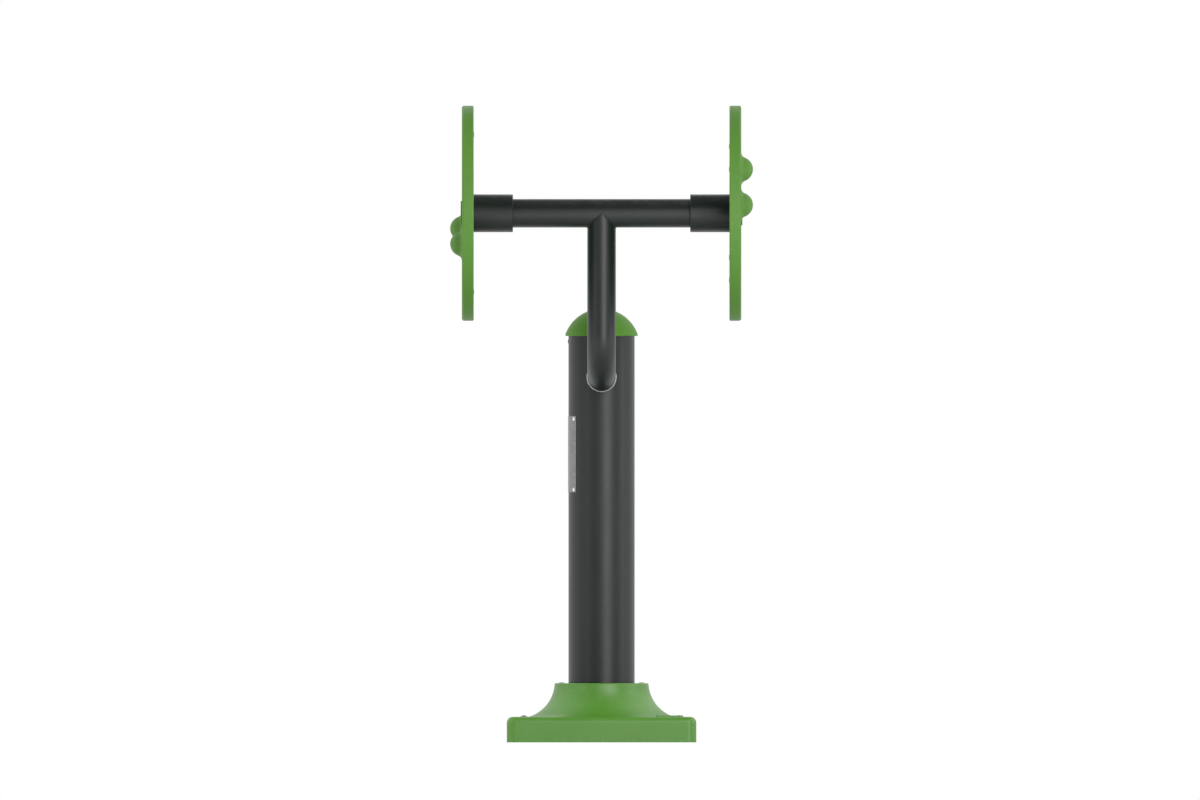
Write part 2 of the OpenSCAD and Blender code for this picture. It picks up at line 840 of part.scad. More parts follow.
// Snap ring in the hub's groove, outside the outer bearing
module hub_circlip(side) {
    outer_r = bore_r + circlip_groove - circlip_gap;
    color(steel) on_wheel(side) rotate_extrude(angle = 360 - circlip_mouth)
        translate([outer_r - circlip_w, bearing_end + circlip_gap]) square([circlip_w, circlip_t]);
}

module flange_screws(side) {
    color(zinc) on_wheel(side) at_flange_screws() difference() {
        union() {
            flat_head(flange_head_d, flange_screw_d);
            cylinder(d = flange_screw_d, h = flange_screw_l);
        }
        translate([0, 0, -past]) cylinder(d = socket_af / cos(30), h = socket_depth + past, $fn = 6);
    }
}

// Places of the back plate's screws; the first one is behind the outer grip
module at_back_screws() {
    around(back_screw_count, back_screw_r) translate([0, 0, wheel_start]) children();
}

// Half section of a grip's dome above the face, drawn one wall further in for its hollow
module dome_section(inset) {
    intersection() {
        translate([0, grip_h - grip_r]) circle(grip_r - inset);
        square([grip_r, grip_h]);
    }
}

// The same with the hollow curve around its foot, which meets the dome and the face smoothly
module grip_section() {
    hollow_r = sqrt(pow(grip_r + grip_fillet, 2) - pow(grip_r - grip_h + grip_fillet, 2));
    tangent_h = grip_h - grip_r + (grip_r - grip_h + grip_fillet) * grip_r / (grip_r + grip_fillet);
    dome_section(0);
    difference() {
        square([hollow_r, tangent_h]);
        translate([hollow_r, grip_fillet]) circle(grip_fillet);
    }
}

// Puts a piece on the place of each grip, with Z = 0 on the face
module at_grips() {
    translate([grip_outer_r, 0, wheel_end]) children();
    rotate(grip_step) translate([grip_inner_r, 0, wheel_end]) children();
}

// Half section of the moulded disc: skin, rim with its ledge, and centre boss
module face_section() {
    ledge_r = rim_inner_r - ledge_w;
    difference() {
        union() {
            translate([0, skin_start]) square([wheel_r, skin_t]);
            translate([rim_inner_r, wheel_start]) square([rim_w, wheel_t]);
            translate([ledge_r, flange_start]) square([ledge_w, skin_start - flange_start]);
            translate([0, hub_end]) square([boss_r, skin_start - hub_end]);
        }
        corner_loss(wheel_r - face_edge_r, wheel_end - face_edge_r, face_edge_r);
        translate([0, 2 * (wheel_start + back_edge_r)]) mirror([0, 1])
            corner_loss(wheel_r - back_edge_r, wheel_start + back_edge_r, back_edge_r);
        translate([0, hub_end - past]) square([face_hole_d / 2, wheel_t]);
    }
}

// Ribs between the centre boss and the rim, and the bosses for the back plate's screws
module face_ribs() {
    rib_l = rim_inner_r - ledge_w - boss_r;
    for (i = [0 : rib_count - 1]) rotate(i * 360 / rib_count)
        translate([boss_r - past, -rib_t / 2, flange_start])
            cube([rib_l + 2 * past, rib_t, skin_start - flange_start + past]);
    at_back_screws() translate([0, 0, back_t])
        cylinder(d = screw_boss_d, h = skin_start - flange_start + past);
    intersection() {
        translate([back_screw_r, 0, skin_start]) cylinder(d = screw_boss_d, h = skin_t + grip_h);
        translate([grip_outer_r, 0, wheel_end]) rotate_extrude() grip_section();
    }
}

// Moulded face of a wheel, with its two hollow palm grips
module wheel_face(side) {
    mouth_r = sqrt(pow(grip_r - grip_wall, 2) - pow(grip_r - grip_h, 2));
    color(leaf_green) on_wheel(side) difference() {
        union() {
            difference() {
                union() {
                    rotate_extrude() face_section();
                    at_grips() rotate_extrude() grip_section();
                }
                at_grips() rotate_extrude() {
                    dome_section(grip_wall);
                    translate([0, -skin_t - past]) square([mouth_r, skin_t + past]);
                }
            }
            face_ribs();
        }
        at_flange_screws() cylinder(d = flange_screw_d, h = flange_screw_l + hole_end_gap);
        at_back_screws() cylinder(d = back_screw_d, h = back_screw_l + hole_end_gap);
    }
}

module wheel_back(side) {
    color(leaf_green) on_wheel(side) difference() {
        ring(rim_inner_r - back_gap, hub_r + back_gap, wheel_start, flange_start);
        at_back_screws() translate([0, 0, -past])
            cylinder(r = back_screw_d / 2 + screw_gap, h = back_t + 2 * past);
    }
}

module back_screws(side) {
    color(zinc) on_wheel(side) at_back_screws() rotate([180, 0, 0])
        low_screw(back_head_d, back_head_h, back_screw_d, back_screw_l);
}

// Push-in cap over the axle's nut
module hub_cap(side) {
    cap_skirt_r = face_hole_d / 2 - cap_skirt_gap;
    well_r = cap_skirt_r - cap_skirt_wall;
    color(leaf_green) on_wheel(side) rotate_extrude() difference() {
        union() {
            translate([0, wheel_end]) square([hub_cap_d / 2, hub_cap_h]);
            translate([0, wheel_end - cap_skirt_depth]) square([cap_skirt_r, cap_skirt_depth]);
        }
        corner_loss(hub_cap_d / 2 - hub_cap_edge, wheel_end + hub_cap_h - hub_cap_edge, hub_cap_edge);
        translate([0, wheel_end - cap_skirt_depth - past])
            square([well_r, cap_skirt_depth + past + hub_cap_h - cap_top_wall]);
    }
}

base_plate();
base_gussets();
post_tube();
base_cover_front();
base_cover_rear();
cover_ring_screws();
cover_lap_screws();
post_cap();
post_cap_screws();
name_plate();
name_plate_rivets();
arm_tube();
arm_weld_ring();
cross_tube();
cross_tube_weld();
axle(left);  // left_axle
bearing_inner_ring(left, inner_bearing);  // left_inner_bearing_inner_ring
bearing_inner_ring(left, outer_bearing);  // left_outer_bearing_inner_ring
bearing_spacer(left);  // left_bearing_spacer
axle_washer(left);  // left_axle_washer
axle_nut(left);  // left_axle_nut
hub(left);  // left_hub
shaft_seal(left);  // left_shaft_seal
bearing_outer_ring(left, inner_bearing);  // left_inner_bearing_outer_ring
bearing_outer_ring(left, outer_bearing);  // left_outer_bearing_outer_ring
hub_circlip(left);  // left_hub_circlip
flange_screws(left);  // left_flange_screws
wheel_face(left);  // left_wheel_face
wheel_back(left);  // left_wheel_back
back_screws(left);  // left_back_screws
hub_cap(left);  // left_hub_cap
bearing_balls(left, inner_bearing);  // left_inner_bearing_balls
bearing_cage(left, inner_bearing);  // left_inner_bearing_cage
bearing_balls(left, outer_bearing);  // left_outer_bearing_balls
bearing_cage(left, outer_bearing);  // left_outer_bearing_cage
axle(right);  // right_axle
bearing_inner_ring(right, inner_bearing);  // right_inner_bearing_inner_ring
bearing_inner_ring(right, outer_bearing);  // right_outer_bearing_inner_ring
bearing_spacer(right);  // right_bearing_spacer
axle_washer(right);  // right_axle_washer
axle_nut(right);  // right_axle_nut
hub(right);  // right_hub
shaft_seal(right);  // right_shaft_seal
bearing_outer_ring(right, inner_bearing);  // right_inner_bearing_outer_ring
bearing_outer_ring(right, outer_bearing);  // right_outer_bearing_outer_ring
hub_circlip(right);  // right_hub_circlip
flange_screws(right);  // right_flange_screws
wheel_face(right);  // right_wheel_face
wheel_back(right);  // right_wheel_back
back_screws(right);  // right_back_screws
hub_cap(right);  // right_hub_cap
bearing_balls(right, inner_bearing);  // right_inner_bearing_balls
bearing_cage(right, inner_bearing);  // right_inner_bearing_cage
bearing_balls(right, outer_bearing);  // right_outer_bearing_balls
bearing_cage(right, outer_bearing);  // right_outer_bearing_cage
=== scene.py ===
"""Looks of the outdoor fitness station: dark powder-coated tubes, moulded green
wheels, cap and base cover, and the small metal parts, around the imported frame.
Metres, +Z up. The user's side, which the photograph shows, is -Y."""

import math

import bmesh
import bpy
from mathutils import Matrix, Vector


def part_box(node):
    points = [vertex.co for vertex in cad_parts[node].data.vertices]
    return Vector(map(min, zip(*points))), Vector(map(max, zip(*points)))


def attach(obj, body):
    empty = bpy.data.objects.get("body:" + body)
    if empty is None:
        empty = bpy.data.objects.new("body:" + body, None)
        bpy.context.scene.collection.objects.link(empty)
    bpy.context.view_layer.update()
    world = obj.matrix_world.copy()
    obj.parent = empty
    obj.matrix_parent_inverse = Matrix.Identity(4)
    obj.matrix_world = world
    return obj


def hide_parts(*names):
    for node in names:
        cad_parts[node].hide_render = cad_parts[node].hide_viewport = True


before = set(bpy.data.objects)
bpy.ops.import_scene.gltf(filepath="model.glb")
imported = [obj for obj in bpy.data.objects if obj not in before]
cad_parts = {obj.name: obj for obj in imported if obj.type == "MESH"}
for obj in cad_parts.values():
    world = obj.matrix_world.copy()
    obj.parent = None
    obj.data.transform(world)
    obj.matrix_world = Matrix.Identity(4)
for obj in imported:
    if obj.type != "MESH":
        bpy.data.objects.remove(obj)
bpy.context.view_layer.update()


# Measures of the CAD pieces

post_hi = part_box("post_tube")[1]
POST_R, POST_END = post_hi.x, post_hi.z
cross_lo, cross_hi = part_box("cross_tube")
TUBE_R = (cross_hi.z - cross_lo.z) / 2
AXIS_Y, AXIS_Z = (cross_lo.y + cross_hi.y) / 2, (cross_lo.z + cross_hi.z) / 2
ARM_Z = sum(corner.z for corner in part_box("arm_weld_ring")) / 2
face_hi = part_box("right_wheel_face")[1]
GRIP_END, WHEEL_R = face_hi.x, face_hi.z - AXIS_Z
COVER_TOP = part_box("cover_lap_screws")[1].z


# Colour and node helpers

def linear(*srgb):
    """Linear colour from 0-255 sRGB values."""
    return tuple(((c / 255 + 0.055) / 1.055) ** 2.4 if c > 10 else c / 255 / 12.92 for c in srgb)


class Nodes:
    """The node tree of a material or a world, with short ways to add nodes to it."""

    def __init__(self, owner, empty=False):
        owner.use_nodes = True
        self.tree = owner.node_tree
        if empty:
            self.tree.nodes.clear()

    def feed(self, socket, value):
        """A number or colour is set on the socket, and an output is linked to it."""
        if isinstance(value, bpy.types.NodeSocket):
            self.tree.links.new(value, socket)
        elif socket.type == "RGBA":
            socket.default_value = (*value, 1)
        else:
            socket.default_value = value

    def node(self, kind, inputs=None, **settings):
        """Adds a node with these settings, and feeds its inputs by name or number."""
        made = self.tree.nodes.new(kind)
        for key, value in settings.items():
            setattr(made, key, value)
        for key, value in (inputs or {}).items():
            self.feed(made.inputs[key], value)
        return made

    def math(self, operation, a, b=0.0):
        return self.node("ShaderNodeMath", {0: a, 1: b}, operation=operation).outputs["Value"]

    def xyz(self, vector):
        """The outputs X, Y and Z of a vector."""
        return self.node("ShaderNodeSeparateXYZ", {"Vector": vector}).outputs

    def span(self, value, low, high, to_low=0.0, to_high=1.0):
        """Smoothly carries the range from low to high over to another one."""
        ranges = {"From Min": low, "From Max": high, "To Min": to_low, "To Max": to_high}
        made = self.node("ShaderNodeMapRange", {"Value": value, **ranges},
                         interpolation_type="SMOOTHSTEP")
        return made.outputs["Result"]


class Surface(Nodes):
    """A Principled material with the textures that it is built from."""

    def __init__(self, name, ior, metallic=0.0, anisotropic=0.0):
        self.material = bpy.data.materials.new(name)
        super().__init__(self.material)
        self.inputs = self.tree.nodes["Principled BSDF"].inputs
        self.feed(self.inputs["IOR"], ior)
        self.feed(self.inputs["Metallic"], metallic)
        self.feed(self.inputs["Anisotropic"], anisotropic)
        self.place = self.node("ShaderNodeTexCoord").outputs["Object"]
        self.normal = None

    def stretched(self, scale):
        """Object coordinates scaled along each axis."""
        inputs = {"Vector": self.place, "Scale": scale}
        return self.node("ShaderNodeMapping", inputs).outputs["Vector"]

    def noise(self, scale, detail, roughness=0.55, distortion=0.0, where=None):
        inputs = {"Vector": where or self.place, "Scale": scale, "Detail": detail,
                  "Roughness": roughness, "Distortion": distortion}
        return self.node("ShaderNodeTexNoise", inputs).outputs["Fac"]

    def cells(self, scale, feature="F1"):
        """The outputs Distance and Color of a cell texture."""
        inputs = {"Vector": self.place, "Scale": scale}
        return self.node("ShaderNodeTexVoronoi", inputs, feature=feature).outputs

    def mix(self, factor, a, b):
        """Colour a carried over to colour b by the factor."""
        inputs = {"Factor": factor, "A": a, "B": b}
        return self.node("ShaderNodeMix", inputs, data_type="RGBA").outputs["Result"]

    def along(self, axis):
        """The point's place along X, Y or Z."""
        return self.xyz(self.place)[axis]

    def facing_up(self):
        """How far the surface faces up, from 0 to 1."""
        normal = self.node("ShaderNodeNewGeometry").outputs["Normal"]
        return self.span(self.xyz(normal)["Z"], 0.3, 1.0)

    def wheel_radius(self):
        """The point's distance from the wheels' axis."""
        y = self.math("SUBTRACT", self.along("Y"), AXIS_Y)
        z = self.math("SUBTRACT", self.along("Z"), AXIS_Z)
        squares = self.math("ADD", self.math("MULTIPLY", y, y), self.math("MULTIPLY", z, z))
        return self.math("SQRT", squares)

    def bump(self, height, distance, strength):
        """Adds a bump of some metres on top of the ones before it."""
        inputs = {"Height": height, "Distance": distance, "Strength": strength}
        if self.normal:
            inputs["Normal"] = self.normal
        self.normal = self.node("ShaderNodeBump", inputs).outputs["Normal"]

    def finish(self, colour, roughness):
        """Joins colour, roughness and bumps to the shader and gives the material."""
        self.feed(self.inputs["Base Color"], colour)
        self.feed(self.inputs["Roughness"], roughness)
        self.feed(self.inputs["Normal"], self.normal)
        return self.material


# Materials

SPREAD = (0.3, 0.7)  # Most values of a noise texture lie in this range.


def powder_coat():
    """Satin polyester powder on steel: orange peel, fine grain, light dust on top."""
    surface = Surface("grey_powder", ior=1.5)
    cloud = surface.noise(7.0, detail=4.0)
    grain = surface.noise(2600.0, detail=2.0)
    peel = surface.noise(620.0, detail=2.0, roughness=0.45)
    patches = surface.span(surface.noise(38.0, detail=5.0, roughness=0.7), 0.4, 0.8, 0.0, 0.12)
    dust = surface.math("MULTIPLY", surface.facing_up(), patches)
    coat = surface.mix(surface.span(cloud, *SPREAD), linear(13, 21, 20), linear(17, 25, 24))
    coat = surface.mix(surface.span(grain, 0.55, 0.75, 0.0, 0.2), coat, linear(38, 43, 42))
    coat = surface.mix(dust, coat, linear(128, 128, 120))
    surface.bump(peel, distance=0.00009, strength=0.55)
    surface.bump(grain, distance=0.00002, strength=0.5)
    satin = surface.span(cloud, *SPREAD, 0.36, 0.4)
    return surface.finish(coat, surface.math("ADD", satin, surface.span(grain, *SPREAD, 0.0, 0.05)))


def moulded_green(name, worn, rough=0.56, ior=1.46, deep=(74, 122, 35), pale=(77, 125, 38)):
    """Grained polyethylene, through-coloured, with paler scuffs where it is touched."""
    surface = Surface(name, ior)
    cloud = surface.noise(9.0, detail=4.0)
    grain = surface.cells(1150.0, "SMOOTH_F1")["Distance"]
    fine = surface.noise(3200.0, detail=2.0)
    flow = surface.noise(5.0, detail=3.0, roughness=0.5, distortion=1.5,
                         where=surface.stretched((1.0, 1.0, 0.35)))
    scratches = surface.span(surface.noise(160.0, detail=5.0, roughness=0.75), 0.46, 0.66)
    scuff = surface.math("MULTIPLY", worn(surface), scratches)
    green = surface.mix(surface.span(cloud, *SPREAD), linear(*deep), linear(*pale))
    green = surface.mix(surface.span(flow, 0.45, 0.65, 0.0, 0.2), green, linear(77, 126, 37))
    green = surface.mix(surface.span(grain, 0.0, 0.5, 0.16, 0.0), green, linear(68, 114, 34))
    green = surface.mix(surface.math("MULTIPLY", scuff, 0.16), green, linear(132, 172, 98))
    surface.bump(grain, distance=0.00003, strength=0.25)
    surface.bump(fine, distance=0.00001, strength=0.25)
    matt = surface.span(cloud, *SPREAD, rough - 0.02, rough + 0.02)
    polish = surface.math("MULTIPLY", scuff, -0.01)
    return surface.finish(green, surface.math("ADD", matt, polish))


def worn_wheel(surface):
    """Hands rub the rim's edge and the tops of the grips."""
    rim_width, grip_height, past_end = 0.008, 0.017, 0.001
    rim = surface.span(surface.wheel_radius(), WHEEL_R - rim_width, WHEEL_R, 0.0, 0.4)
    outward = surface.math("ABSOLUTE", surface.along("X"))
    grips = surface.span(outward, GRIP_END - grip_height, GRIP_END + past_end)
    return surface.math("MAXIMUM", rim, grips)


def worn_foot(surface):
    """Shoes and mowers scuff the cover's lower edge, and its upper edge half as much."""
    lower_height, upper_from, upper_to = 0.022, 0.010, 0.002
    height = surface.along("Z")
    lower = surface.span(height, lower_height, 0.0)
    upper = surface.span(height, COVER_TOP - upper_from, COVER_TOP - upper_to, 0.0, 0.5)
    return surface.math("MAXIMUM", lower, upper)


def worn_cap(surface):
    """Weather fades the crown a little."""
    fades_from, fades_to = POST_END + 0.015, POST_END + 0.057
    return surface.span(surface.along("Z"), fades_from, fades_to, 0.0, 0.7)


def turned_metal(name, light, dark, rough, streak=(700.0, 700.0, 700.0), anisotropic=0.0):
    """Metal with soft stains and fine tool lines, long where the streak's scale is low."""
    surface = Surface(name, ior=1.5, metallic=1.0, anisotropic=anisotropic)
    lines = surface.noise(1.0, detail=3.0, roughness=0.6, where=surface.stretched(streak))
    stain = surface.noise(55.0, detail=4.0, roughness=0.65)
    metal = surface.mix(surface.span(lines, *SPREAD), linear(*dark), linear(*light))
    metal = surface.mix(surface.span(stain, 0.5, 0.75, 0.0, 0.35), metal, linear(*dark))
    surface.bump(lines, distance=0.00002, strength=0.5)
    brushed = surface.span(lines, *SPREAD, rough, rough + 0.1)
    dulled = surface.span(stain, 0.5, 0.75, 0.0, 0.12)
    return surface.finish(metal, surface.math("ADD", brushed, dulled))


def galvanised():
    """Hot-dip zinc: flat crystals of slightly different grey, dulled by weather."""
    surface = Surface("galvanised", ior=1.45, metallic=1.0)
    crystal = surface.xyz(surface.cells(95.0)["Color"])["X"]
    bloom = surface.span(surface.noise(30.0, detail=5.0, roughness=0.7), 0.5, 0.7)
    tone = surface.span(crystal, 0.0, 1.0)
    zinc = surface.mix(tone, linear(142, 147, 150), linear(182, 186, 188))
    zinc = surface.mix(surface.math("MULTIPLY", bloom, 0.5), zinc, linear(196, 198, 196))
    surface.bump(surface.noise(260.0, detail=3.0), distance=0.00008, strength=0.5)
    facets = surface.span(crystal, 0.0, 1.0, 0.38, 0.5)
    return surface.finish(zinc, surface.math("ADD", facets, surface.math("MULTIPLY", bloom, 0.2)))


def weld_painted_highlight():
    """Weld whose pale scaly colour is a painted highlight along the joint, with a little heat tint.
    """
    surface = Surface("weld_painted_highlight", ior=1.45, metallic=0.3)
    scales = surface.noise(420.0, detail=4.0, roughness=0.65)
    tint = surface.span(surface.noise(90.0, detail=3.0), 0.55, 0.75, 0.0, 0.3)
    metal = surface.mix(surface.span(scales, *SPREAD), linear(196, 198, 198), linear(232, 233, 233))
    metal = surface.mix(tint, metal, linear(176, 172, 164))
    surface.bump(scales, distance=0.0002, strength=0.6)
    return surface.finish(metal, surface.span(scales, *SPREAD, 0.36, 0.52))


def rubber():
    """Matt rubber of the shaft seals."""
    surface = Surface("seal_rubber", ior=1.5)
    grain = surface.noise(900.0, detail=3.0)
    black = surface.mix(surface.span(grain, *SPREAD), linear(24, 24, 25), linear(36, 36, 37))
    surface.bump(grain, distance=0.00008, strength=0.6)
    return surface.finish(black, surface.span(grain, *SPREAD, 0.62, 0.74))


def ground_steel():
    """Polished bearing steel with the faint lines of grinding around the axis."""
    surface = Surface("ground_steel", ior=1.45, metallic=1.0)
    around = surface.stretched((4200.0, 60.0, 60.0))
    lines = surface.noise(1.0, detail=2.0, roughness=0.5, where=around)
    steel = surface.mix(surface.span(lines, *SPREAD), linear(188, 190, 193), linear(206, 208, 210))
    surface.bump(lines, distance=0.000006, strength=0.5)
    return surface.finish(steel, surface.span(lines, *SPREAD, 0.12, 0.2))


POWDER = powder_coat()
GREEN_WHEEL = moulded_green("green_wheel", worn_wheel)
GREEN_COVER = moulded_green("green_cover", worn_foot, rough=0.42, ior=1.65,
                            deep=(70, 127, 26), pale=(73, 130, 29))
GREEN_CAP = moulded_green("green_cap", worn_cap, rough=0.6,
                          deep=(81, 135, 38), pale=(85, 139, 42))
GALVANISED = galvanised()
# Pale weld colour: a painted highlight along the arm's joint on the post.
WELD_PAINTED_HIGHLIGHT = weld_painted_highlight()
RUBBER = rubber()
GROUND = ground_steel()
TURNED = turned_metal("turned_steel", (184, 186, 188), (150, 152, 154), 0.24,
                      streak=(900.0, 900.0, 40.0))
ZINC = turned_metal("bright_zinc", (196, 199, 203), (168, 172, 176), 0.26,
                    streak=(500.0, 500.0, 500.0))
COVER_SCREW = turned_metal("cover_screw", (190, 194, 190), (152, 157, 152), 0.34)
DARK_SCREW = turned_metal("dark_screw", (74, 78, 78), (52, 55, 55), 0.36)
PLATE = turned_metal("name_plate", (152, 154, 153), (118, 121, 120), 0.34,
                     streak=(60.0, 60.0, 2400.0), anisotropic=0.4)
RIVET = turned_metal("rivet", (244, 244, 243), (226, 227, 226), 0.22,
                     streak=(800.0, 800.0, 800.0))
BRASS = turned_metal("cage_brass", (186, 152, 84), (150, 118, 60), 0.3,
                     streak=(300.0, 900.0, 900.0))

FINISHES = {
    "base_plate": GALVANISED, "base_gussets": GALVANISED, "post_tube": POWDER,
    "base_cover_front": GREEN_COVER, "base_cover_rear": GREEN_COVER,
    "cover_ring_screws": COVER_SCREW, "cover_lap_screws": COVER_SCREW,
    "post_cap": GREEN_CAP, "post_cap_screws": DARK_SCREW,
    "name_plate": PLATE, "name_plate_rivets": RIVET,
    "arm_tube": POWDER, "arm_weld_ring": WELD_PAINTED_HIGHLIGHT, "cross_tube": POWDER, "cross_tube_weld": POWDER,
}
SIDE_FINISHES = {
    "axle": TURNED, "inner_bearing_inner_ring": GROUND, "outer_bearing_inner_ring": GROUND,
    "bearing_spacer": TURNED, "axle_washer": ZINC, "axle_nut": ZINC, "hub": POWDER,
    "shaft_seal": RUBBER, "inner_bearing_outer_ring": GROUND, "outer_bearing_outer_ring": GROUND,
    "hub_circlip": TURNED, "flange_screws": ZINC, "wheel_face": GREEN_WHEEL,
    "wheel_back": GREEN_WHEEL, "back_screws": DARK_SCREW, "hub_cap": GREEN_WHEEL,
    "inner_bearing_balls": GROUND, "inner_bearing_cage": BRASS,
    "outer_bearing_balls": GROUND, "outer_bearing_cage": BRASS,
}
for side in ("left", "right"):
    for part, finish in SIDE_FINISHES.items():
        FINISHES[side + "_" + part] = finish

for name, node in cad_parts.items():
    node.data.materials.clear()
    node.data.materials.append(FINISHES[name])


# Weld beads

RIPPLES = 90
RIPPLE_STEPS = 8
POINTS_ACROSS = 7
RIPPLE_DEPTH = 0.07  # Half of the share of a leg that is missing between two ripples.
FLATNESS = 0.12  # Share of a leg by which the bead's middle lies inside an arc.
ARM_LEGS = (0.0016, 0.0030)
CROSS_LEGS = (0.0015, 0.0015)


def bead(name, foot, legs, material, replaced):
    """Rippled weld bead along a closed line. For each turn around the line, foot gives its
    point and the two directions in which the bead leans on its parts, by one leg each."""
    bm = bmesh.new()
    steps = RIPPLES * RIPPLE_STEPS
    rings = []
    for i in range(steps):
        point, along_a, along_b = foot(2 * math.pi * i / steps)
        dip = RIPPLE_DEPTH * (1.0 + math.cos(2 * math.pi * i / RIPPLE_STEPS))
        ring = [bm.verts.new(point)]
        for k in range(POINTS_ACROSS):
            turn = (math.pi / 2) * k / (POINTS_ACROSS - 1)
            lean = along_a * (legs[0] * math.cos(turn)) + along_b * (legs[1] * math.sin(turn))
            swell = 1.0 - dip - FLATNESS * math.sin(2 * turn)
            ring.append(bm.verts.new(point + lean * swell))
        rings.append(ring)
    for this, other in zip(rings, rings[1:] + rings[:1]):
        for k in range(len(this)):
            step = (k + 1) % len(this)
            bm.faces.new((this[k], this[step], other[step], other[k]))
    bmesh.ops.recalc_face_normals(bm, faces=bm.faces)
    mesh = bpy.data.meshes.new(name)
    bm.to_mesh(mesh)
    bm.free()
    mesh.polygons.foreach_set("use_smooth", [True] * len(mesh.polygons))
    mesh.materials.append(material)
    made = bpy.data.objects.new(name, mesh)
    bpy.context.scene.collection.objects.link(made)
    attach(made, "stand")
    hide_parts(replaced)


def arm_foot(turn):
    """Point of the arm's outline on the post, with the ways along post and arm."""
    x = TUBE_R * math.cos(turn)
    point = Vector((x, -math.sqrt(POST_R ** 2 - x ** 2), ARM_Z + TUBE_R * math.sin(turn)))
    out = Vector((point.x, point.y, 0)).normalized()
    along_post = Vector((math.cos(turn), 0, math.sin(turn)))
    return point, (along_post - out * along_post.dot(out)).normalized(), Vector((0, -1, 0))


def cross_foot(turn):
    """Point of the upright's outline on the cross tube, with the ways out of both tubes."""
    out = Vector((math.cos(turn), math.sin(turn), 0))
    down = Vector((0, out.y, -abs(out.x)))
    middle = Vector((0, AXIS_Y, AXIS_Z - abs(out.x) * TUBE_R))
    return out * TUBE_R + middle, out, down


# The arm's bead is coloured pale, a painted highlight along its joint on the post.
bead("arm_bead", arm_foot, ARM_LEGS, WELD_PAINTED_HIGHLIGHT, "arm_weld_ring")
bead("cross_bead", cross_foot, CROSS_LEGS, POWDER, "cross_tube_weld")


# Camera

# The photograph was taken from far off, level and square on, with a long lens. No
# perspective is left in it to measure, so the view is a parallel one.
PHOTO_WIDTH, PHOTO_HEIGHT = 1200, 800
PIXEL = 0.00211  # Metres in one pixel.
CENTRE_COLUMN = 601.56  # Where the post's axis stands.
FLOOR_ROW = 742.4
CAMERA_AWAY = 6.0
NEAREST, FARTHEST = 0.1, 60.0

camera_data = bpy.data.cameras.new("camera")
camera_data.type = "ORTHO"
camera_data.ortho_scale = PHOTO_WIDTH * PIXEL
camera_data.clip_start, camera_data.clip_end = NEAREST, FARTHEST
camera = bpy.data.objects.new("camera", camera_data)
camera.location = ((PHOTO_WIDTH / 2 - CENTRE_COLUMN) * PIXEL, -CAMERA_AWAY,
                   (FLOOR_ROW - PHOTO_HEIGHT / 2) * PIXEL)
camera.rotation_euler = (math.pi / 2, 0, 0)
bpy.context.scene.collection.objects.link(camera)
bpy.context.scene.camera = camera


# Floor and studio

# A tone of 1 is white. The floor's glow sets in over a range of metres away from the
# station, and the studio's tones change over a range of the direction's X, Y or Z.
FLOOR_HALF = 14.0
FLOOR_DROP = 0.0002
FLOOR_TONE, FLOOR_GLOW, FAR_GLOW = 0.62, 0.54, 0.4
FAR_RANGE = (0.5, 1.5)
LIGHT_RANGE, LOW_LIGHT, HIGH_LIGHT = (0.1, 0.9), 1.12, 0.66
CEILING_RANGE, CEILING_TONE = (0.15, 0.75), 0.3
SIDE_RANGE, RIGHT_TONE, LEFT_TONE = (0.1, 0.45), 1.5, 1.2
SIDE_RISE = (0.1, 0.35)
FRONT_RANGE, FRONT_TONE = (-0.6, 0.0), 0.16


def background_share(nodes, rays):
    """1 for the rays that see the background itself: camera, glossy and transmission."""
    either = nodes.math("MAXIMUM", rays["Is Camera Ray"], rays["Is Glossy Ray"])
    return nodes.math("MAXIMUM", either, rays["Is Transmission Ray"])


def floor_surface():
    """Grey floor that keeps the station's shadow. A glow lifts it to white for the camera,
    and away from the station also for surfaces that mirror it."""
    material = bpy.data.materials.new("floor")
    nodes = Nodes(material, empty=True)
    rays = nodes.node("ShaderNodeLightPath").outputs
    position = nodes.node("ShaderNodeNewGeometry").outputs["Position"]
    away = nodes.node("ShaderNodeVectorMath", {0: position, 1: (0, 2 * AXIS_Y, 0)},
                      operation="DISTANCE").outputs["Value"]
    far = nodes.span(away, *FAR_RANGE)
    lifted = nodes.math("MAXIMUM", far, rays["Is Camera Ray"])
    share = nodes.math("MULTIPLY", lifted, background_share(nodes, rays))
    camera_far = nodes.math("MULTIPLY", far, rays["Is Camera Ray"])
    strength = nodes.math("ADD", share, nodes.span(camera_far, 0.0, 1.0, 0.0, FAR_GLOW))
    grey = nodes.node("ShaderNodeBsdfDiffuse", {"Color": (FLOOR_TONE,) * 3}).outputs["BSDF"]
    glow = nodes.node("ShaderNodeEmission", {"Color": (FLOOR_GLOW,) * 3, "Strength": strength})
    total = nodes.node("ShaderNodeAddShader", {0: grey, 1: glow.outputs["Emission"]})
    nodes.node("ShaderNodeOutputMaterial", {"Surface": total.outputs["Shader"]})
    return material


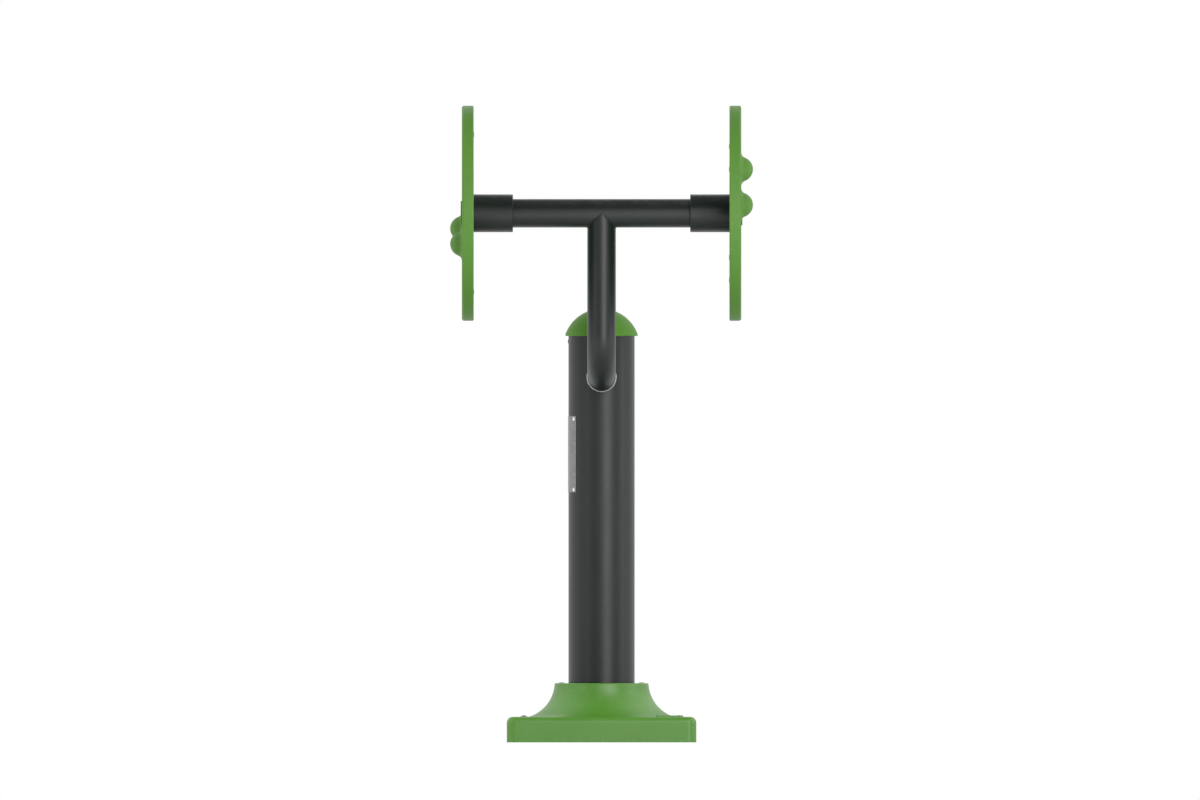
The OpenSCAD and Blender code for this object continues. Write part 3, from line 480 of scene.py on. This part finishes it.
def studio():
    """World of a white room. It lights the object a little more from low down. In surfaces
    that mirror it, the wall on the camera's side is dark, and so is the ceiling between
    two bright sides."""
    world = bpy.data.worlds.new("studio")
    nodes = Nodes(world, empty=True)
    rays = nodes.node("ShaderNodeLightPath").outputs
    way = nodes.xyz(nodes.node("ShaderNodeTexCoord").outputs["Generated"])
    ceiling = nodes.span(way["Z"], *CEILING_RANGE, 1.0, CEILING_TONE)
    near, far = SIDE_RANGE
    right = nodes.span(way["X"], near, far, 0.0, RIGHT_TONE)
    left = nodes.span(way["X"], -far, -near, LEFT_TONE, 0.0)
    risen = nodes.span(way["Z"], *SIDE_RISE)
    sides = nodes.math("MULTIPLY", risen, nodes.math("MAXIMUM", right, left))
    front = nodes.span(way["Y"], *FRONT_RANGE, FRONT_TONE, 1.0)
    walls = nodes.math("MULTIPLY", nodes.math("MAXIMUM", ceiling, sides), front)
    light = nodes.span(way["Z"], *LIGHT_RANGE, LOW_LIGHT, HIGH_LIGHT)
    seen = nodes.math("MAXIMUM", walls, rays["Is Camera Ray"])
    inputs = {0: background_share(nodes, rays)}
    for number, tone in enumerate((light, seen), start=1):
        white = nodes.node("ShaderNodeBackground", {"Color": (1.0, 1.0, 1.0), "Strength": tone})
        inputs[number] = white.outputs["Background"]
    choice = nodes.node("ShaderNodeMixShader", inputs)
    nodes.node("ShaderNodeOutputWorld", {"Surface": choice.outputs["Shader"]})
    return world


ends = (-FLOOR_HALF, FLOOR_HALF)
floor_mesh = bpy.data.meshes.new("floor")
floor_mesh.from_pydata([(x, y, 0) for x in ends for y in ends], [], [(0, 2, 3, 1)])
floor_mesh.materials.append(floor_surface())
floor = bpy.data.objects.new("floor", floor_mesh)
floor.location.z = -FLOOR_DROP
bpy.context.scene.collection.objects.link(floor)

bpy.context.scene.world = studio()


# Lamps

AIM = Vector((0, 0, 0.7))


def lamp(name, azimuth, elevation, distance, width, height, power, mirrored=True):
    """Area lamp aimed at the middle of the station. Azimuth 0 is the camera's side,
    and positive ones lie to the right of it. One that isn't mirrored leaves no highlight."""
    data = bpy.data.lights.new(name, "AREA")
    data.shape = "RECTANGLE"
    data.size, data.size_y = width, height
    data.energy = power
    made = bpy.data.objects.new(name, data)
    made.visible_glossy = mirrored
    turn, rise = math.radians(azimuth), math.radians(elevation)
    level = math.cos(rise)
    way = Vector((math.sin(turn) * level, -math.cos(turn) * level, math.sin(rise)))
    made.location = AIM + distance * way
    made.rotation_euler = (AIM - made.location).to_track_quat("-Z", "Y").to_euler()
    bpy.context.scene.collection.objects.link(made)


lamp("key", azimuth=19, elevation=9, distance=4.0, width=1.7, height=3.2, power=84)
lamp("right", azimuth=76, elevation=6, distance=4.0, width=0.9, height=2.8, power=19)
lamp("left", azimuth=-50, elevation=6, distance=4.0, width=0.9, height=2.8, power=12)
lamp("left_fill", azimuth=-82, elevation=12, distance=4.0, width=2.0, height=2.8, power=32,
     mirrored=False)
lamp("back", azimuth=180, elevation=35, distance=4.5, width=2.4, height=2.0, power=18)


# Picture colours

bpy.context.scene.view_settings.view_transform = "Standard"
